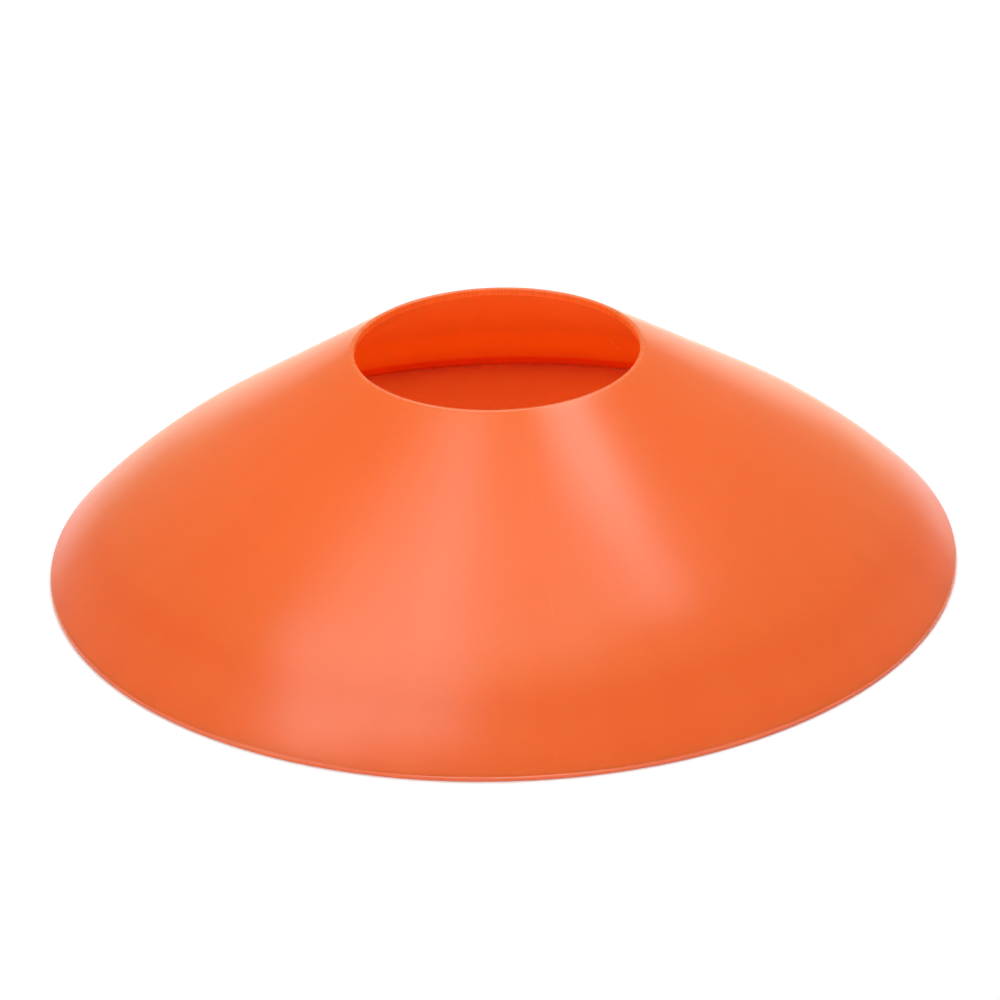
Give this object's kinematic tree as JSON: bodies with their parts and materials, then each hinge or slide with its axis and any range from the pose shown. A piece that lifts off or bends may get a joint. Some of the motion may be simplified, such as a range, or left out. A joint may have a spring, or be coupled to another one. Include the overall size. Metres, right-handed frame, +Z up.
{
  "type": "disc marker cone",
  "caption": "Low saucer-shaped sports marker cone: a thin moulded shell with a sloping wall, rounded skirt, open hole on top and a flat rim to stand on. Cones nest to stack.",
  "frame": {"origin": "on the ground, at the middle of the rim", "axes": "+Z up along the cone's axis through the hole; X and Y are any two level directions, since the cone is round"},
  "size_m": [0.2, 0.2, 0.05],
  "materials": {
    "orange_polyethylene": "satin moulded polyethylene, slightly see-through where it is thin"
  },
  "bodies": {
    "root": {"cone_shell": "orange_polyethylene"}
  },
  "joints": []
}
